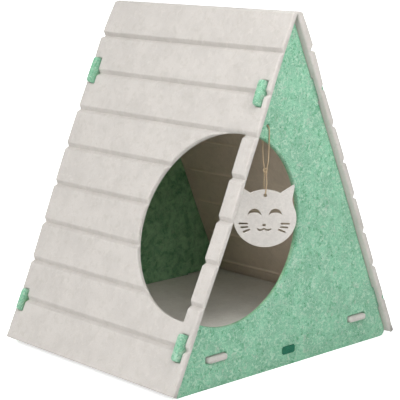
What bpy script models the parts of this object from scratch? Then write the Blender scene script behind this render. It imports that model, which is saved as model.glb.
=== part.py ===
"""Felt cat cave: an A-frame pet house slotted together from flat sheets of stiff felt.

The roof is one sheet, folded at the ridge, with plank grooves pressed into its outer
face. Two triangular gables stand on the floor inside it. Their edge tabs pass through
slots in the roof, and the floor panel's tabs pass through slots in the gables. A round
entrance is cut across the front left corner, through the left slope and the front
gable, and a felt cat's head hangs in it on a loop of twine.

The origin is on the floor under the middle of the house. X runs across the gables, -Y is
the front and Z is up. Lengths are in metres.
"""

import math

import bmesh
import bpy
from mathutils import Vector

# ---- felt, and the play between pieces that touch --------------------------------
FELT = 0.008
PLAY = 0.0003

# ---- roof ------------------------------------------------------------------------
ROOF_DEPTH = 0.350
SLOPE = math.radians(65.9)      # each roof side above the floor
FOLD_Z = 0.4648                 # the fold line, where the two inner faces meet
SLOPE_LENGTH = 0.504            # fold line to lower edge, along the inner face
FIRST_PLANK = 0.053             # fold line to the first groove
PLANK = 0.056                   # groove to groove
GROOVE_COUNT = 8
# One pressed groove, in columns: distance along the slope, depth under the outer face.
GROOVE_SHAPE = (
    (-0.0060, 0.0),
    (-0.0042, 0.0006),
    (0.0, 0.0045),
    (0.0042, 0.0006),
    (0.0060, 0.0),
)
RIDGE_HALF = 0.0087             # half width of the rounded ridge
RIDGE_RISE = 0.004              # felt left over the fold line
RIDGE_END = 0.0035              # where the ridge's rounding meets the flat outer face

# ---- gables ----------------------------------------------------------------------
FRONT_GABLE_Y = -0.162          # middle of the front gable's felt
BACK_GABLE_Y = 0.165
FOOT_ROUND = 0.0045
# A gable's two tabs on each side, near the second and the last groove, in columns: middle
# down the slope, length, how far it stands out of the roof.
FRONT_TABS = (
    (0.1096, 0.0343, 0.0074),
    (0.4440, 0.0349, 0.0058),
)
BACK_TABS = (
    (0.1068, 0.0375, 0.0092),
    (0.4475, 0.0310, 0.0058),
)
TAB_ROUND = 0.0045
ROOF_SLOT_PLAY_UP = 0.0006
ROOF_SLOT_PLAY_FRONT = 0.0008

# ---- entrance --------------------------------------------------------------------
ENTRANCE_RADIUS = 0.124
ENTRANCE_X = -0.106             # centre in the front gable
ENTRANCE_Z = 0.1995
ENTRANCE_DOWN = 0.2877          # centre in the left slope, along it from the fold
ENTRANCE_Y = -0.1435
STRIP_WIDTH = 0.023             # roof left standing in front of the side opening

# ---- floor panel -----------------------------------------------------------------
FLOOR_TOP = 0.0425
FLOOR_HALF_WIDTH = 0.1884
FLOOR_TAB_X = (-0.1305, 0.141)
FLOOR_TAB_LENGTH = 0.033
FLOOR_TAB_PROUD = 0.005
FLOOR_TAB_ROUND = 0.004
FLOOR_SLOT_X = (-0.1325, 0.141)
FLOOR_SLOT_LENGTH = 0.039
FLOOR_SLOT_PLAY_TOP = 0.0007

# ---- twine -----------------------------------------------------------------------
TWINE = 0.0018
HANG_X = -0.042
HANG_Z = 0.3262                 # centre of the hole in the front gable
HANG_HOLE = 0.0048
KNOT_Z = 0.2675
KNOT_HALF_WIDTH = 0.0026
KNOT_HALF_HEIGHT = 0.004
TWINE_STEP = 2.0 * TWINE        # spacing of the points on a twine's centre line
GABLE_BEND = 0.0057             # radius of the bend through the gable's hole
GABLE_BEND_Z = 0.3213
TAG_BEND = 0.0034               # radius of the bend through the tag's hole
TAG_BEND_Z = 0.2401

# ---- cat's head tag --------------------------------------------------------------
TAG_FELT = 0.003
TAG_TURN = math.radians(-43.4)  # the tag hangs turned towards the front left corner
TAG_Z = 0.2060                  # centre of the head
HEAD_HALF_WIDTH = 0.041
HEAD_HALF_HEIGHT = 0.0378
EAR_TIP = (0.0376, 0.0451)
EAR_FOOT = (0.0352, 0.0234)
EAR_ROUND = 0.0015
EAR_INNER = math.radians(28.4)  # where the ear leaves the crown, from the top of the head
EAR_OUTER = math.radians(66.0)
TAG_HOLE_Z = 0.2362
TAG_HOLE = 0.0047
EYE_X = 0.0137
EYE_BASE = 0.0045
EYE_HALF_WIDTH = 0.0086
EYE_OUTER_RISE = 0.0082
EYE_INNER_RISE = 0.0037
NOSE_Z = -0.0088
NOSE_SIZE = (0.0048, 0.0030)
MOUTH_Z = -0.0133
MOUTH_HALF_WIDTH = 0.0093
MOUTH_DIP = 0.0025
MOUTH_STROKE = 0.0015
WHISKER_STROKE = 0.0016
# Whiskers on one cheek, in columns: inner end x, z, then outer end x, z.
WHISKERS = (
    (0.0220, -0.0069, 0.0340, -0.0069),
    (0.0210, -0.0114, 0.0315, -0.0120),
    (0.0190, -0.0148, 0.0280, -0.0183),
)

# ---- plain patch on the front gable ----------------------------------------------
PATCH_X = 0.002
PATCH_Z = 0.0220
PATCH_SIZE = (0.024, 0.011)
PATCH_THICK = 0.0008
PATCH_ROUND = 0.003

CUTTER_REACH = 0.02             # how far a cutter runs past the felt that it cuts

# ---- finishes, in columns: colour, roughness -------------------------------------
FINISHES = {
    "off_white_felt": ((0.69, 0.65, 0.61), 0.95),
    "green_felt": ((0.27, 0.58, 0.38), 0.95),
    "jute_twine": ((0.50, 0.34, 0.16), 0.90),
    "dark_green_patch": ((0.02, 0.13, 0.08), 0.80),
}


# ---- outlines --------------------------------------------------------------------
def rounded(corners, steps=5):
    """Turn (x, z, radius) corners into a loop of points, with an arc at each radius."""
    loop = []
    for k, (x, z, radius) in enumerate(corners):
        corner = Vector((x, z))
        if radius == 0.0:
            loop.append(corner)
            continue
        before = (Vector(corners[k - 1][:2]) - corner).normalized()
        after = (Vector(corners[(k + 1) % len(corners)][:2]) - corner).normalized()
        half = before.angle(after) / 2
        centre = corner + (before + after).normalized() * radius / math.sin(half)
        start = corner + before * radius / math.tan(half) - centre
        end = corner + after * radius / math.tan(half) - centre
        first = math.atan2(start.y, start.x)
        sweep = (math.atan2(end.y, end.x) - first + math.pi) % math.tau - math.pi
        for n in range(steps + 1):
            angle = first + sweep * n / steps
            loop.append(centre + radius * Vector((math.cos(angle), math.sin(angle))))
    return loop


def rounded_box(x, z, width, height, radius):
    """A rectangle about (x, z) with rounded corners."""
    left, right = x - width / 2, x + width / 2
    low, high = z - height / 2, z + height / 2
    return rounded([(left, low, radius), (right, low, radius), (right, high, radius), (left, high, radius)])


def arc(x, z, radius_x, radius_z, first, last, steps):
    """Points of an ellipse about (x, z), by the angle from its top."""
    angles = [first + (last - first) * n / steps for n in range(steps + 1)]
    return [Vector((x + radius_x * math.sin(a), z + radius_z * math.cos(a))) for a in angles]


def circle(x, z, radius, steps):
    """A closed circle about (x, z)."""
    return arc(x, z, radius, radius, 0.0, math.tau, steps)[:-1]


def mirrored(half):
    """Close a loop that is given from the middle, down its +X side, to the middle."""
    return half + [Vector((-p.x, p.y)) for p in reversed(half) if p.x > 0.0]


# ---- solids ----------------------------------------------------------------------
def add_object(name, data):
    """Put a mesh or a curve into the scene under this name."""
    thing = bpy.data.objects.new(name, data)
    bpy.context.scene.collection.objects.link(thing)
    return thing


def prism(name, loop, push):
    """A closed solid: a flat loop of 3-D points, carried along a vector."""
    bm = bmesh.new()
    face = bm.faces.new([bm.verts.new(p) for p in loop])
    far = bmesh.ops.extrude_face_region(bm, geom=[face])["geom"]
    bmesh.ops.translate(bm, vec=push, verts=[v for v in far if isinstance(v, bmesh.types.BMVert)])
    bmesh.ops.recalc_face_normals(bm, faces=bm.faces[:])
    mesh = bpy.data.meshes.new(name)
    bm.to_mesh(mesh)
    bm.free()
    return add_object(name, mesh)


def upright_panel(name, loop, y, thickness):
    """A sheet that stands across the house, its middle at y, from a loop of (x, z)."""
    front = [Vector((p.x, y - thickness / 2, p.y)) for p in loop]
    return prism(name, front, Vector((0.0, thickness, 0.0)))


def flat_panel(name, loop, top, thickness):
    """A sheet that lies level under height top, from a loop of (x, y)."""
    under = [Vector((p.x, p.y, top - thickness)) for p in loop]
    return prism(name, under, Vector((0.0, 0.0, thickness)))


def slope_point(side, down, out, y=0.0):
    """A point of the roof: side -1 or +1, down its inner face, out from that face."""
    across = down * math.cos(SLOPE) + out * math.sin(SLOPE)
    height = FOLD_Z - down * math.sin(SLOPE) + out * math.cos(SLOPE)
    return Vector((side * across, y, height))


def slope_cutter(name, side, loop):
    """A cutter through one roof side, from a loop of (down, y)."""
    low = [slope_point(side, p.x, -CUTTER_REACH, p.y) for p in loop]
    through = slope_point(side, 0.0, FELT + CUTTER_REACH) - slope_point(side, 0.0, -CUTTER_REACH)
    return prism(name, low, through)


def gable_cutter(name, loop, y, thickness=FELT):
    """A cutter through an upright sheet, from a loop of (x, z)."""
    return upright_panel(name, loop, y, thickness + 2 * CUTTER_REACH)


def cut(target, cutters):
    """Take the cutters out of a solid, and hide them."""
    for cutter in cutters:
        boolean = target.modifiers.new(cutter.name, "BOOLEAN")
        boolean.operation = "DIFFERENCE"
        boolean.solver = "EXACT"
        boolean.object = cutter
        cutter.hide_render = True
        cutter.display_type = "WIRE"


def finish(thing, name):
    """Give a solid its plain material."""
    material = bpy.data.materials.get(name)
    if material is None:
        colour, roughness = FINISHES[name]
        material = bpy.data.materials.new(name)
        material.use_nodes = True
        shader = material.node_tree.nodes["Principled BSDF"]
        shader.inputs["Base Color"].default_value = (*colour, 1.0)
        shader.inputs["Roughness"].default_value = roughness
        shader.inputs["Metallic"].default_value = 0.0
    thing.data.materials.append(material)


# ---- roof ------------------------------------------------------------------------
def roof_section():
    """Half of the roof's cross-section, from the top of the ridge to the fold line."""
    half = [Vector((p.x, p.y)) for p in arc(0.0, FOLD_Z, RIDGE_HALF, RIDGE_RISE, 0.0, math.radians(75), 5)]
    outer = [(RIDGE_END, FELT)]
    for k in range(GROOVE_COUNT):
        groove = FIRST_PLANK + k * PLANK
        outer += [(groove + along, FELT - depth) for along, depth in GROOVE_SHAPE]
    outer += [(SLOPE_LENGTH, FELT), (SLOPE_LENGTH, 0.0)]
    for down, out in outer:
        point = slope_point(1, down, out)
        half.append(Vector((point.x, point.z)))
    return half + [Vector((0.0, FOLD_Z))]


def side_opening():
    """Loop of (down, y): the round entrance in the left slope, straight at its strip."""
    strip_edge = -ROOF_DEPTH / 2 + STRIP_WIDTH
    start = math.acos((strip_edge - ENTRANCE_Y) / ENTRANCE_RADIUS)
    return arc(ENTRANCE_DOWN, ENTRANCE_Y, ENTRANCE_RADIUS, ENTRANCE_RADIUS, -start, start, 40)


def roof_slot(middle, length, gable_y):
    """Loop of (down, y): a slot that a gable's tab comes through."""
    upper = middle - length / 2 - ROOF_SLOT_PLAY_UP
    lower = middle + length / 2 + PLAY
    front = gable_y - FELT / 2 - ROOF_SLOT_PLAY_FRONT
    back = gable_y + FELT / 2 + PLAY
    return [Vector(p) for p in ((upper, front), (lower, front), (lower, back), (upper, back))]


def make_roof():
    """The folded, grooved roof sheet with its side opening and its tab slots."""
    roof = upright_panel("roof", mirrored(roof_section()), 0.0, ROOF_DEPTH)
    cutters = [slope_cutter("side_opening_cutter", -1, side_opening())]
    for side in (-1, 1):
        for gable_y, tabs in ((FRONT_GABLE_Y, FRONT_TABS), (BACK_GABLE_Y, BACK_TABS)):
            for middle, length, _ in tabs:
                cutters.append(slope_cutter("roof_slot_cutter", side, roof_slot(middle, length, gable_y)))
    cut(roof, cutters)
    finish(roof, "off_white_felt")


# ---- gables ----------------------------------------------------------------------
def gable_outline(tabs):
    """Half of a gable, from its top, past its two roof tabs, to the middle of its foot."""
    top = FOLD_Z - PLAY / math.cos(SLOPE)
    foot_down = (FOLD_Z - PLAY * math.cos(SLOPE)) / math.sin(SLOPE)
    edge = [(0.0, top, 0.0)]
    for middle, length, proud in tabs:
        upper, lower = middle - length / 2, middle + length / 2
        tip = FELT + proud
        for down, out, radius in ((upper, -PLAY, 0.0), (upper, tip, TAB_ROUND),
                                  (lower, tip, TAB_ROUND), (lower, -PLAY, 0.0)):
            point = slope_point(1, down, out)
            edge.append((point.x, point.z, radius))
    edge.append((slope_point(1, foot_down, -PLAY).x, 0.0, FOOT_ROUND))
    edge.append((0.0, 0.0, 0.0))
    return rounded(edge)


def floor_slots(gable_y):
    """Cutters for the slots that the floor panel's tabs come through."""
    low = FLOOR_TOP - FELT - PLAY
    high = FLOOR_TOP + FLOOR_SLOT_PLAY_TOP
    cutters = []
    for x in FLOOR_SLOT_X:
        loop = rounded_box(x, (low + high) / 2, FLOOR_SLOT_LENGTH, high - low, 0.001)
        cutters.append(gable_cutter("floor_slot_cutter", loop, gable_y))
    return cutters


def make_gables():
    """The two green gables; the front one has the entrance and the twine's hole."""
    front = upright_panel("gable_front", mirrored(gable_outline(FRONT_TABS)), FRONT_GABLE_Y, FELT)
    entrance = gable_cutter("entrance_cutter", circle(ENTRANCE_X, ENTRANCE_Z, ENTRANCE_RADIUS, 72), FRONT_GABLE_Y)
    hang_hole = gable_cutter("hang_hole_cutter", circle(HANG_X, HANG_Z, HANG_HOLE / 2, 16), FRONT_GABLE_Y)
    cut(front, [entrance, hang_hole] + floor_slots(FRONT_GABLE_Y))
    back = upright_panel("gable_back", mirrored(gable_outline(BACK_TABS)), BACK_GABLE_Y, FELT)
    cut(back, floor_slots(BACK_GABLE_Y))
    for gable in (front, back):
        finish(gable, "green_felt")


# ---- floor panel -----------------------------------------------------------------
def floor_edge(y_wall, y_tip):
    """One long edge of the floor panel with its tabs, as corners of (x, y, radius)."""
    corners = [(-FLOOR_HALF_WIDTH, y_wall, 0.0)]
    for x in FLOOR_TAB_X:
        left, right = x - FLOOR_TAB_LENGTH / 2, x + FLOOR_TAB_LENGTH / 2
        corners += [(left, y_wall, 0.0), (left, y_tip, FLOOR_TAB_ROUND)]
        corners += [(right, y_tip, FLOOR_TAB_ROUND), (right, y_wall, 0.0)]
    return corners + [(FLOOR_HALF_WIDTH, y_wall, 0.0)]


def make_floor():
    """The raised floor panel between the gables."""
    reach = FELT / 2 + PLAY
    tip = FELT / 2 + FLOOR_TAB_PROUD
    front = floor_edge(FRONT_GABLE_Y + reach, FRONT_GABLE_Y - tip)
    back = floor_edge(BACK_GABLE_Y - reach, BACK_GABLE_Y + tip)
    panel = flat_panel("floor_panel", rounded(front + back[::-1]), FLOOR_TOP, FELT)
    finish(panel, "off_white_felt")


# ---- cat's head tag --------------------------------------------------------------
def head_outline():
    """Half of the cat's head, from the crown, round one ear and cheek, to the chin."""
    crown = arc(0.0, 0.0, HEAD_HALF_WIDTH, HEAD_HALF_HEIGHT, 0.0, EAR_INNER, 6)
    ear = rounded([(*crown[-1], 0.0), (*EAR_TIP, EAR_ROUND), (*EAR_FOOT, 0.0)], 3)
    cheek = arc(0.0, 0.0, HEAD_HALF_WIDTH, HEAD_HALF_HEIGHT, EAR_OUTER, math.pi, 16)
    cheek[-1].x = 0.0
    return crown + ear[1:] + cheek


def eye(side):
    """A closed, smiling eye: a crescent between two arcs."""
    rise = arc(side * EYE_X, EYE_BASE, EYE_HALF_WIDTH, EYE_OUTER_RISE, -math.pi / 2, math.pi / 2, 12)
    fall = arc(side * EYE_X, EYE_BASE, EYE_HALF_WIDTH, EYE_INNER_RISE, math.pi / 2, -math.pi / 2, 12)
    return rise + fall[1:-1]


def mouth():
    """Two shallow dips side by side, a stroke wide."""
    steps = 16
    middle = []
    for n in range(steps + 1):
        x = MOUTH_HALF_WIDTH * (2 * n / steps - 1)
        middle.append(Vector((x, MOUTH_Z - MOUTH_DIP * abs(math.sin(math.pi * x / MOUTH_HALF_WIDTH)))))
    lift = Vector((0.0, MOUTH_STROKE / 2))
    return [p + lift for p in middle] + [p - lift for p in reversed(middle)]


def whisker(side, x_in, z_in, x_out, z_out):
    """A straight stroke with round ends."""
    start, end = Vector((side * x_in, z_in)), Vector((side * x_out, z_out))
    along = end - start
    tilt = math.atan2(along.x, along.y)
    half = WHISKER_STROKE / 2
    tip = arc(end.x, end.y, half, half, tilt - math.pi / 2, tilt + math.pi / 2, 4)
    root = arc(start.x, start.y, half, half, tilt + math.pi / 2, tilt + 3 * math.pi / 2, 4)
    return tip + root


def make_tag():
    """The cat's head, with its face and its hanging hole cut through."""
    tag = upright_panel("cat_tag", mirrored(head_outline()), 0.0, TAG_FELT)
    loops = [eye(-1), eye(1), mouth(), circle(0.0, TAG_HOLE_Z - TAG_Z, TAG_HOLE / 2, 12)]
    loops.append(arc(0.0, NOSE_Z, NOSE_SIZE[0] / 2, NOSE_SIZE[1] / 2, 0.0, math.tau, 12)[:-1])
    loops += [whisker(side, *row) for side in (-1, 1) for row in WHISKERS]
    cutters = [gable_cutter("face_cutter", loop, 0.0, TAG_FELT) for loop in loops]
    for thing in [tag] + cutters:
        thing.location = (HANG_X, FRONT_GABLE_Y, TAG_Z)
        thing.rotation_euler = (0.0, 0.0, TAG_TURN)
    cut(tag, cutters)
    finish(tag, "off_white_felt")


# ---- twine -----------------------------------------------------------------------
def smooth(route, step):
    """Even steps along the smooth curve (Catmull-Rom) through a route's points."""
    padded = [2 * route[0] - route[1]] + route + [2 * route[-1] - route[-2]]
    fine = []
    for a, b, c, d in zip(padded, padded[1:], padded[2:], padded[3:]):
        for n in range(24):
            t = n / 24
            fine.append(0.5 * (2 * b + (c - a) * t + (2 * a - 5 * b + 4 * c - d) * t ** 2
                               + (3 * b - a - 3 * c + d) * t ** 3))
    fine.append(route[-1])
    lengths = [0.0]
    for p, q in zip(fine, fine[1:]):
        lengths.append(lengths[-1] + (q - p).length)
    count = round(lengths[-1] / step)
    points = []
    k = 0
    for n in range(count + 1):
        want = lengths[-1] * n / count
        while k < len(fine) - 2 and lengths[k + 1] < want:
            k += 1
        part = (want - lengths[k]) / (lengths[k + 1] - lengths[k])
        points.append(fine[k].lerp(fine[k + 1], part))
    return points


def twine(name, route):
    """A round tube along a route of (forward, z) from the twine's own plane."""
    curve = bpy.data.curves.new(name, "CURVE")
    curve.dimensions = "3D"
    curve.bevel_depth = TWINE / 2
    curve.bevel_resolution = 2
    curve.use_fill_caps = True
    points = smooth(route, TWINE_STEP)
    spline = curve.splines.new("POLY")
    spline.points.add(len(points) - 1)
    for slot, point in zip(spline.points, points):
        slot.co = (*point, 1.0)
    finish(add_object(name, curve), "jute_twine")


def loop_route(half, facing):
    """Both strands of a loop from half of it, given in columns: out, z."""
    sides = [(out, z) for out, z in half] + [(-out, z) for out, z in reversed(half) if out > 0.0]
    return [Vector((HANG_X, FRONT_GABLE_Y, z)) + out * facing for out, z in sides]


def make_twine():
    """The loop through the gable, the knot, and the loop through the tag."""
    bend = math.sin(math.radians(45))
    upper = [
        (0.0013, KNOT_Z + 0.0045),
        (0.0030, KNOT_Z + 0.0170),
        (0.0050, KNOT_Z + 0.0310),
        (GABLE_BEND, KNOT_Z + 0.0410),
        (GABLE_BEND, GABLE_BEND_Z),
        (GABLE_BEND * bend, GABLE_BEND_Z + GABLE_BEND * bend),
        (0.0, GABLE_BEND_Z + GABLE_BEND),
    ]
    lower = [
        (0.0013, KNOT_Z - 0.0045),
        (0.0020, KNOT_Z - 0.0130),
        (0.0031, KNOT_Z - 0.0220),
        (TAG_BEND, TAG_BEND_Z),
        (TAG_BEND * bend, TAG_BEND_Z - TAG_BEND * bend),
        (0.0, TAG_BEND_Z - TAG_BEND),
    ]
    twine("string_upper", loop_route(upper, Vector((0.0, -1.0, 0.0))))
    twine("string_lower", loop_route(lower, Vector((math.sin(TAG_TURN), -math.cos(TAG_TURN), 0.0))))
    bm = bmesh.new()
    bmesh.ops.create_uvsphere(bm, u_segments=12, v_segments=8, radius=1.0)
    bmesh.ops.scale(bm, vec=(KNOT_HALF_WIDTH, KNOT_HALF_WIDTH, KNOT_HALF_HEIGHT), verts=bm.verts[:])
    bmesh.ops.translate(bm, vec=(HANG_X, FRONT_GABLE_Y, KNOT_Z), verts=bm.verts[:])
    mesh = bpy.data.meshes.new("string_knot")
    bm.to_mesh(mesh)
    bm.free()
    mesh.shade_smooth()
    finish(add_object("string_knot", mesh), "jute_twine")


# ---- patch -----------------------------------------------------------------------
def make_patch():
    """A small plain patch, low on the front gable."""
    front_face = FRONT_GABLE_Y - FELT / 2
    loop = rounded_box(PATCH_X, PATCH_Z, *PATCH_SIZE, PATCH_ROUND)
    patch = upright_panel("label_patch", loop, front_face - PLAY - PATCH_THICK / 2, PATCH_THICK)
    finish(patch, "dark_green_patch")


def main():
    """Clear the scene and build every piece."""
    for thing in list(bpy.data.objects):
        bpy.data.objects.remove(thing, do_unlink=True)
    make_roof()
    make_gables()
    make_floor()
    make_tag()
    make_twine()
    make_patch()


main()
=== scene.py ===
"""Felt cat cave: the finished looks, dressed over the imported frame.

Every felt piece is a flat sheet worked out in its own two directions: a grid of points
and rings along its cut edges, each point lifted to the outer or the inner face by a
formula of its distance from the edge. The twine is a two-ply profile carried along its
route. Lengths are in metres, the origin is on the floor under the middle of the house,
X runs across the gables, -Y is the front and Z is up.
"""
from math import acos, atan2, ceil, cos, hypot, pi, radians, sin, sqrt, tan, tau

import bpy
import numpy as np
from bpy.props import FloatProperty, FloatVectorProperty, PointerProperty
from mathutils import Matrix
from mathutils.geometry import delaunay_2d_cdt
from numpy.linalg import norm


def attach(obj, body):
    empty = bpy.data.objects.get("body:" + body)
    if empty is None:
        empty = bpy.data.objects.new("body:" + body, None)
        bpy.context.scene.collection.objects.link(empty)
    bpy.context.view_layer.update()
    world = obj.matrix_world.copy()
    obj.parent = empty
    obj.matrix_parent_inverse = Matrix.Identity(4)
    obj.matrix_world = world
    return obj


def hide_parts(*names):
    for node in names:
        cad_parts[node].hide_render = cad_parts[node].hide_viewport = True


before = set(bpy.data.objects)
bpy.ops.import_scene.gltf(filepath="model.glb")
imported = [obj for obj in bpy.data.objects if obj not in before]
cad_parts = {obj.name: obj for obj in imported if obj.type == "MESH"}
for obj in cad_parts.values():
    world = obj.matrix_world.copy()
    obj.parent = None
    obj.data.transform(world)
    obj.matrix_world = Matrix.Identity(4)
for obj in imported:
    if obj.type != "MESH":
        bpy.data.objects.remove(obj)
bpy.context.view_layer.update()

bl_info = {
    "name": "Felt cat cave",
    "version": (1, 0, 0),
    "blender": (4, 5, 0),
    "location": "View3D > Sidebar > Cat Cave",
    "description": "Makes an A-frame cat cave of slotted felt panels",
    "category": "Add Mesh",
}

MM = 0.001

# ---- roof sheet ------------------------------------------------------------------
GROOVE_COUNT = 8
GROOVE_WALL = 0.0042            # half width of a groove's straight walls
GROOVE_RIM = 0.0060             # half width where its rounded rim ends
GROOVE_RIM_DROP = 0.0006        # how far the rim has dropped where the walls start
GROOVE_FLOOR = 0.35 * MM        # rounding at the bottom of a groove
RIDGE_HALF = 0.0087             # half width of the rounded ridge
RIDGE_RISE = 0.004              # felt left over the fold line
RIDGE_END = 0.0035              # where the ridge's rounding meets the flat outer face
ROOF_SLOT_PLAY_UP = 0.0006
ROOF_SLOT_PLAY_FRONT = 0.0014
ROOF_TOUCH = 0.0065             # points less than this far out still lie under the roof
# The strip in front of the side opening has nothing behind it and bows in a little.
BOW_IN = 0.0029
BOW_DOWN = 0.292
BOW_HALF = 0.125
BOW_BACK = -0.085
# The slopes are not quite flat: how far each stands out from its plane, in columns: front
# and back edge of the left slope, front and back edge of the right slope. There is a row
# for the fold and one for every further 72 mm down.
SLOPE_STEP = 0.072
SLOPE_BOW = (
    (0.0, 0.0, 0.0004, 0.0),
    (0.0008, 0.0032, 0.0010, 0.0016),
    (-0.0012, 0.0048, 0.0012, 0.0024),
    (-0.0008, 0.0048, 0.0020, 0.0024),
    (0.0, 0.0028, 0.0018, 0.0014),
    (0.0, 0.0002, 0.0012, 0.0),
    (0.0, -0.0016, 0.0012, 0.0),
    (0.0, 0.0, 0.0012, 0.0),
)
# The outer face alone also swells beside the fold, where the felt is stretched over it,
# but not at the front of the left slope.
SWELL = 0.003
SWELL_DOWN = 0.045
SWELL_HALF = 0.064
GABLE_GIVE = 0.012              # width of the gable's rim that follows the roof's bow
# Under each groove a low rib shows on the inner face, between the gables. It is faint near the front, but
# not under the lowest groove. The felt's colour is painted lighter along each rib, a painted highlight.
RIB_HEIGHT = 0.0016
RIB_HALF = 0.0017
RIB_END = 0.153
RIB_FADE = 0.008
RIB_FRONT = 0.010
RIB_FRONT_FADE = 0.030
RIB_LOWEST = 0.400
RIB_FAINT = 0.12

# ---- gables and floor ------------------------------------------------------------
FRONT_GABLE_Y = -0.162
BACK_GABLE_Y = 0.165
PLAY = 0.0003
GABLE_INNER_ROUND = 0.0008
FOOT_ROUND = 0.0075
# A gable's two tabs on each side, near the second and the last groove, in columns: middle
# down the slope, length, how far it stands out of the roof.
FRONT_TABS = ((0.1096, 0.0343, 0.0074), (0.4440, 0.0349, 0.0078))
BACK_TABS = ((0.1068, 0.0375, 0.0077), (0.4475, 0.0310, 0.0058))
TAB_ROUND = 0.0045
FLOOR_TOP = 0.0425
FLOOR_HALF_WIDTH = 0.1868
FLOOR_TAB_X = (-0.1305, 0.141)
FLOOR_TAB_LENGTH = 0.033
FLOOR_TAB_PROUD = 0.005
FLOOR_TAB_ROUND = 0.004
FLOOR_EDGE_ROUND = 0.0030
FLOOR_SLOT_X = (-0.1312, 0.141)
FLOOR_SLOT_LENGTH = 0.0358
FLOOR_SLOT_PLAY_TOP = 0.0007
FLOOR_SLOT_ROUND = 0.001

# ---- entrance --------------------------------------------------------------------
ENTRANCE = (-0.106, 0.1995)             # its centre in the front gable: x, height
SIDE_ENTRANCE = (-0.2877, -0.1435)      # and in the flat roof sheet: down the left slope, y
SPACING = 0.0006                        # least space between points on one edge

# ---- cat's head tag --------------------------------------------------------------
TAG_TURN = radians(-43.4)
TAG_Z = 0.2060
TAG_EDGE = 0.0005
HEAD_HALF = (0.0405, 0.0378)
EAR_TIP = (0.0381, 0.0457)
EAR_FOOT = (0.0348, 0.0238)
EAR_ROUND = 0.0015
EAR_INNER = radians(28.4)
EAR_OUTER = radians(66.0)
TAG_HOLE_Z = 0.2362
TAG_HOLE = 0.0047
EYE_X = 0.0135
EYE_BASE = 0.0030
EYE_HALF_WIDTH = 0.0087
EYE_OUTER_RISE = 0.0098
EYE_INNER_RISE = 0.0045
MUZZLE_X = -0.0008              # nose, mouth and whiskers sit a little off the middle
NOSE_Z = -0.0088
NOSE_HALF = (0.0024, 0.0018)
MOUTH_Z = -0.0133
MOUTH_HALF_WIDTH = 0.0086
MOUTH_DIP = 0.0018
MOUTH_DROOP = 0.0008
MOUTH_STROKE = 0.0024
WHISKER_STROKE = 0.0025
# Whiskers on one cheek, in columns: inner end x, z, then outer end x, z.
WHISKERS = (
    (0.0222, -0.0069, 0.0319, -0.0069),
    (0.0218, -0.0114, 0.0297, -0.0119),
    (0.0192, -0.0149, 0.0264, -0.0178),
)

# ---- twine -----------------------------------------------------------------------
HANG_X = -0.042
HANG_Z = 0.3262
HANG_HOLE = 0.0048
TWIST_LENGTH = 0.0052           # one turn of the plies
KNOT_Z = 0.2675
KNOT_HALF = (0.0026, 0.0044, 0.0018)
KNOT_THICK = 1.15               # thickness of the knot's twine against the loops'
GABLE_BEND = 0.0057
GABLE_BEND_Z = 0.3213
TAG_BEND = 0.0034
TAG_BEND_Z = 0.2401
HALF_TURN = sin(radians(45))
# Half of each loop, in columns: out from the felt that it hangs through or carries,
# sideways along that felt, height.
UPPER_LOOP = (
    (0.0022, 0.0, KNOT_Z + 0.0045),
    (0.0043, 0.0, KNOT_Z + 0.0130),
    (0.0052, 0.0, KNOT_Z + 0.0260),
    (GABLE_BEND, 0.0, KNOT_Z + 0.0410),
    (GABLE_BEND, 0.0, GABLE_BEND_Z),
    (GABLE_BEND * HALF_TURN, 0.0, GABLE_BEND_Z + GABLE_BEND * HALF_TURN),
    (0.0, 0.0, GABLE_BEND_Z + GABLE_BEND),
)
LOWER_LOOP = (
    (0.0013, 0.0010, KNOT_Z - 0.0040),
    (0.0016, 0.0016, KNOT_Z - 0.0130),
    (0.0028, 0.0012, KNOT_Z - 0.0210),
    (TAG_BEND, 0.0003, TAG_BEND_Z),
    (TAG_BEND * HALF_TURN, 0.0, TAG_BEND_Z - TAG_BEND * HALF_TURN),
    (0.0, 0.0, TAG_BEND_Z - TAG_BEND),
)

# ---- plain patch -----------------------------------------------------------------
PATCH_X = 0.002
PATCH_Z = 0.0220
PATCH_SIZE = (0.024, 0.011)
PATCH_THICK = 0.0008
PATCH_ROUND = 0.003
PATCH_EDGES = (0.00035, 0.0002)

# ---- how a felt edge is rounded, in shares of its radius -------------------------
RING_ANGLES = (25, 48, 70, 90)  # degrees round the arc that have a ring of points
LAST_RING = 1.8                 # one more ring, on the flat
GRID_CLEAR = 2.2                # the grid of points starts here
EDGE_BAND = 2.5                 # the edge's own colour ends here
RING_KEEP = 0.97                # share of its distance that a ring's point keeps from any edge

# ---- how fine the meshes are -----------------------------------------------------
CORNER_STEPS = 6
ENTRANCE_STEPS = 200
ENTRANCE_CLEAR = 0.8 * MM       # a gable's outline keeps this far off the entrance's arc
OPENING_POINTS = 190
OPENING_REACH = 0.97            # share of the radius out to which a grid line adds a point
OPENING_CORNER = 0.004          # least angle from a point to the straight cut
OPENING_GAP = 0.0012            # least angle between points
ROOF_ROWS = 45
# Grids of points, across and then along or up: first, last and how many.
GABLE_GRID = ((-0.205, 0.205, 52), (0.002, 0.460, 58))
FLOOR_GRID = ((-0.18, 0.18, 40), (-0.165, 0.168, 38))
# Grids of points about a middle: first, end and step.
TAG_GRID = (-0.045, 0.046, 0.0022)
PATCH_COLUMNS = (-0.012, 0.0121, 0.0012)
PATCH_ROWS = (-0.006, 0.0061, 0.0012)
# Longest steps along the cut edges, and the steps round the holes and along the twine.
GABLE_STEP = 0.005
FLOOR_STEP = 0.006
FLOOR_SLOT_STEP = 0.003
HEAD_STEP = 0.002
FINE_STEP = 0.0012
HANG_HOLE_STEP = 0.0007
TAG_HOLE_STEP = 0.0006
TWINE_STEP = 0.4 * MM
CURVE_PARTS = 24                # parts of a smooth curve between two of its points
KNOT_POINTS = 180
CROWN_STEPS = 12
CHEEK_STEPS = 48
EYE_STEPS = 30
NOSE_STEPS = 24
MOUTH_POINTS = 41
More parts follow.
